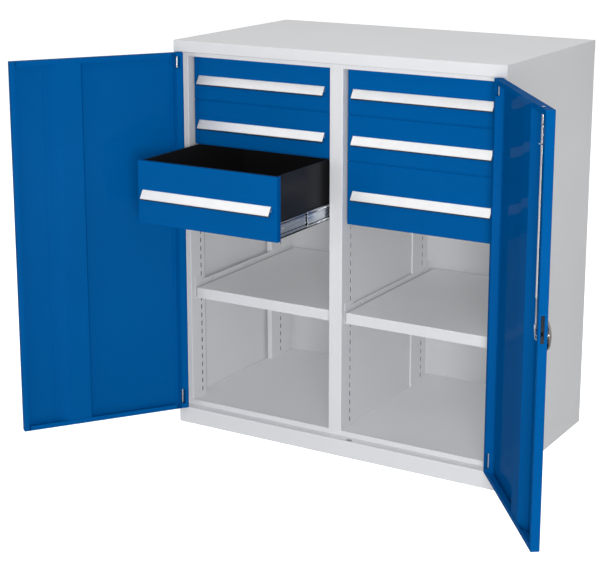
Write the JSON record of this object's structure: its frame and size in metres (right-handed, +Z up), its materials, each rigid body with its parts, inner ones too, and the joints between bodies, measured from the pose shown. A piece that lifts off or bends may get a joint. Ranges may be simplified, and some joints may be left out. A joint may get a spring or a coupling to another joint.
{
  "type": "storage cabinet",
  "caption": "Wide steel cabinet with two hinged doors, a middle partition, rows of handled drawers above and a shelf in each bay, on a closed plinth.",
  "frame": {"origin": "on the floor, under the middle of the cabinet body", "axes": "+Z up, -Y out of the front, +X to the right as seen from the front"},
  "size_m": [1.5489, 0.9975, 1.115],
  "materials": {
    "grey_paint": "satin light grey powder coat",
    "blue_paint": "satin gentian blue powder coat",
    "black_paint": "satin black powder coat",
    "handle_metal": "anodised",
    "zinc": "bright zinc plating",
    "lock_metal": "polished"
  },
  "bodies": {
    "cabinet": {"top_panel": "grey_paint", "side_panel_left": "grey_paint", "side_panel_right": "grey_paint", "back_panel": "grey_paint", "plinth": "grey_paint", "base_frame": "grey_paint", "floor_panel": "grey_paint", "uprights_left": "grey_paint", "uprights_right": "grey_paint", "partition_posts": "grey_paint", "partition_skin": "grey_paint", "shelf_left": "grey_paint", "shelf_right": "grey_paint", "shelf_rails": "grey_paint", "slide_cabinet_members": "zinc"},
    "door_left": {"door_left_panel": "blue_paint", "door_left_stiffener": "blue_paint", "door_left_pins": "zinc"},
    "door_right": {"door_right_panel": "blue_paint", "door_right_stiffener": "blue_paint", "door_right_pins": "zinc", "lock_plate": "zinc", "lock_rose": "lock_metal", "rod_guide": "zinc"},
    "lock_knob": {"lock_knob": "lock_metal", "lock_cam": "zinc"},
    "key_cylinder": {"key_cylinder": "lock_metal"},
    "lock_rod": {"lock_rod": "zinc", "lock_link": "zinc"},
    "drawer_left_1": {"drawer_left_1_front": "blue_paint", "drawer_left_1_tray": "black_paint", "drawer_left_1_handle": "handle_metal", "drawer_left_1_slides": "zinc"},
    "slide_middle_left_1": {"slide_middle_left_1": "zinc"},
    "drawer_left_2": {"drawer_left_2_front": "blue_paint", "drawer_left_2_tray": "black_paint", "drawer_left_2_handle": "handle_metal", "drawer_left_2_slides": "zinc"},
    "slide_middle_left_2": {"slide_middle_left_2": "zinc"},
    "drawer_left_3": {"drawer_left_3_front": "blue_paint", "drawer_left_3_tray": "black_paint", "drawer_left_3_handle": "handle_metal", "drawer_left_3_slides": "zinc"},
    "slide_middle_left_3": {"slide_middle_left_3": "zinc"},
    "drawer_right_1": {"drawer_right_1_front": "blue_paint", "drawer_right_1_tray": "black_paint", "drawer_right_1_handle": "handle_metal", "drawer_right_1_slides": "zinc"},
    "slide_middle_right_1": {"slide_middle_right_1": "zinc"},
    "drawer_right_2": {"drawer_right_2_front": "blue_paint", "drawer_right_2_tray": "black_paint", "drawer_right_2_handle": "handle_metal", "drawer_right_2_slides": "zinc"},
    "slide_middle_right_2": {"slide_middle_right_2": "zinc"},
    "drawer_right_3": {"drawer_right_3_front": "blue_paint", "drawer_right_3_tray": "black_paint", "drawer_right_3_handle": "handle_metal", "drawer_right_3_slides": "zinc"},
    "slide_middle_right_3": {"slide_middle_right_3": "zinc"}
  },
  "joints": [
    {"name": "door_left_hinge", "type": "hinge", "parent": "cabinet", "child": "door_left", "pos_m": [-0.4835, -0.2961, 0.5655], "axis": [0, 0, -1], "range_deg": [-33.7, 5.3]},
    {"name": "door_right_hinge", "type": "hinge", "parent": "cabinet", "child": "door_right", "pos_m": [0.4835, -0.2961, 0.5655], "axis": [0, 0, 1], "range_deg": [-127.5, 3]},
    {"name": "knob_turn", "type": "hinge", "parent": "door_right", "child": "lock_knob", "pos_m": [0.76105, -0.64845, 0.565], "axis": [0.7934, 0.6088, 0], "range_deg": [0, 90]},
    {"name": "key_turn", "type": "hinge", "parent": "lock_knob", "child": "key_cylinder", "pos_m": [0.76105, -0.64845, 0.565], "axis": [0.7934, 0.6088, 0], "range_deg": [0, 90]},
    {"name": "rod_lift", "type": "slide", "parent": "door_right", "child": "lock_rod", "axis": [0, 0, 1], "range_m": [0, 0.0199]},
    {"name": "drawer_left_1_slide", "type": "slide", "parent": "cabinet", "child": "drawer_left_1", "axis": [0, -1, 0], "range_m": [0, 0.5]},
    {"name": "middle_left_1_slide", "type": "slide", "parent": "cabinet", "child": "slide_middle_left_1", "axis": [0, -1, 0], "range_m": [0, 0.25]},
    {"name": "drawer_left_2_slide", "type": "slide", "parent": "cabinet", "child": "drawer_left_2", "axis": [0, -1, 0], "range_m": [0, 0.5]},
    {"name": "middle_left_2_slide", "type": "slide", "parent": "cabinet", "child": "slide_middle_left_2", "axis": [0, -1, 0], "range_m": [0, 0.25]},
    {"name": "drawer_left_3_slide", "type": "slide", "parent": "cabinet", "child": "drawer_left_3", "axis": [0, -1, 0], "range_m": [-0.272, 0.228]},
    {"name": "middle_left_3_slide", "type": "slide", "parent": "cabinet", "child": "slide_middle_left_3", "axis": [0, -1, 0], "range_m": [-0.136, 0.114]},
    {"name": "drawer_right_1_slide", "type": "slide", "parent": "cabinet", "child": "drawer_right_1", "axis": [0, -1, 0], "range_m": [0, 0.5]},
    {"name": "middle_right_1_slide", "type": "slide", "parent": "cabinet", "child": "slide_middle_right_1", "axis": [0, -1, 0], "range_m": [0, 0.25]},
    {"name": "drawer_right_2_slide", "type": "slide", "parent": "cabinet", "child": "drawer_right_2", "axis": [0, -1, 0], "range_m": [0, 0.5]},
    {"name": "middle_right_2_slide", "type": "slide", "parent": "cabinet", "child": "slide_middle_right_2", "axis": [0, -1, 0], "range_m": [0, 0.25]},
    {"name": "drawer_right_3_slide", "type": "slide", "parent": "cabinet", "child": "drawer_right_3", "axis": [0, -1, 0], "range_m": [0, 0.5]},
    {"name": "middle_right_3_slide", "type": "slide", "parent": "cabinet", "child": "slide_middle_right_3", "axis": [0, -1, 0], "range_m": [0, 0.25]}
  ],
  "couplings": [
    {"joint": "rod_lift", "follows": "knob_turn", "m_per_rad": 0.0126},
    {"joint": "middle_left_1_slide", "follows": "drawer_left_1_slide", "ratio": 0.5},
    {"joint": "middle_left_2_slide", "follows": "drawer_left_2_slide", "ratio": 0.5},
    {"joint": "middle_left_3_slide", "follows": "drawer_left_3_slide", "ratio": 0.5},
    {"joint": "middle_right_1_slide", "follows": "drawer_right_1_slide", "ratio": 0.5},
    {"joint": "middle_right_2_slide", "follows": "drawer_right_2_slide", "ratio": 0.5},
    {"joint": "middle_right_3_slide", "follows": "drawer_right_3_slide", "ratio": 0.5}
  ]
}
